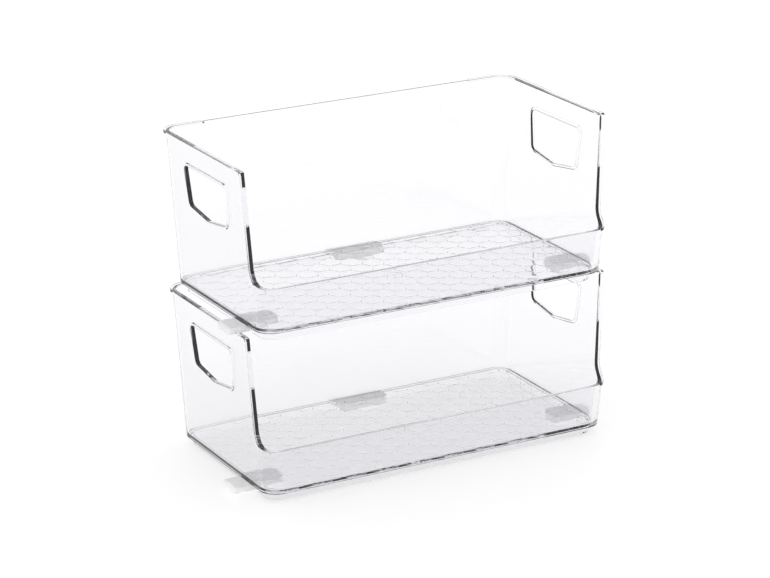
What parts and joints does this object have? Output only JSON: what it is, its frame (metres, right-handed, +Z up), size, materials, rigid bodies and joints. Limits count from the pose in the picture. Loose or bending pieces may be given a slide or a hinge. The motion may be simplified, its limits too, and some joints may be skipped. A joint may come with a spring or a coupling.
{
  "type": "stackable fridge bin",
  "caption": "Stacked pair of clear open-front storage bins with honeycomb floors, side handle holes and slide-in frosted clips that hook the upper bin onto the lower rim.",
  "frame": {"origin": "centre of the stack's footprint, on the surface that the lower bin stands on", "axes": "+X along the length of the bins, -Y out of their open fronts, +Z up"},
  "size_m": [0.316, 0.1644, 0.2523],
  "materials": {
    "lower_bin": "clear polished",
    "upper_bin": "clear polished",
    "lower_clip_left": "frosted",
    "lower_clip_right": "frosted",
    "lower_clip_back": "frosted",
    "upper_clip_left": "frosted",
    "upper_clip_right": "frosted",
    "upper_clip_back": "frosted"
  },
  "bodies": {
    "lower_bin": {"lower_bin": "lower_bin"},
    "upper_bin": {"upper_bin": "upper_bin"},
    "lower_clip_left": {"lower_clip_left": "lower_clip_left"},
    "lower_clip_right": {"lower_clip_right": "lower_clip_right"},
    "lower_clip_back": {"lower_clip_back": "lower_clip_back"},
    "upper_clip_left": {"upper_clip_left": "upper_clip_left"},
    "upper_clip_right": {"upper_clip_right": "upper_clip_right"},
    "upper_clip_back": {"upper_clip_back": "upper_clip_back"}
  },
  "joints": [
    {"name": "upper_bin_lift", "type": "slide", "parent": "lower_bin", "child": "upper_bin", "axis": [0, 0, 1], "range_m": [0, 0.16]},
    {"name": "lower_clip_left_slide", "type": "slide", "parent": "lower_bin", "child": "lower_clip_left", "axis": [-1, 0, 0], "range_m": [0, 0.024]},
    {"name": "lower_clip_right_slide", "type": "slide", "parent": "lower_bin", "child": "lower_clip_right", "axis": [1, 0, 0], "range_m": [0, 0.024]},
    {"name": "lower_clip_back_slide", "type": "slide", "parent": "lower_bin", "child": "lower_clip_back", "axis": [0, 1, 0], "range_m": [0, 0.012]},
    {"name": "upper_clip_left_play", "type": "slide", "parent": "upper_bin", "child": "upper_clip_left", "axis": [-1, 0, 0], "range_m": [0, 0.001]},
    {"name": "upper_clip_right_play", "type": "slide", "parent": "upper_bin", "child": "upper_clip_right", "axis": [1, 0, 0], "range_m": [0, 0.001]},
    {"name": "upper_clip_back_play", "type": "slide", "parent": "upper_bin", "child": "upper_clip_back", "axis": [0, 1, 0], "range_m": [0, 0.001]}
  ]
}
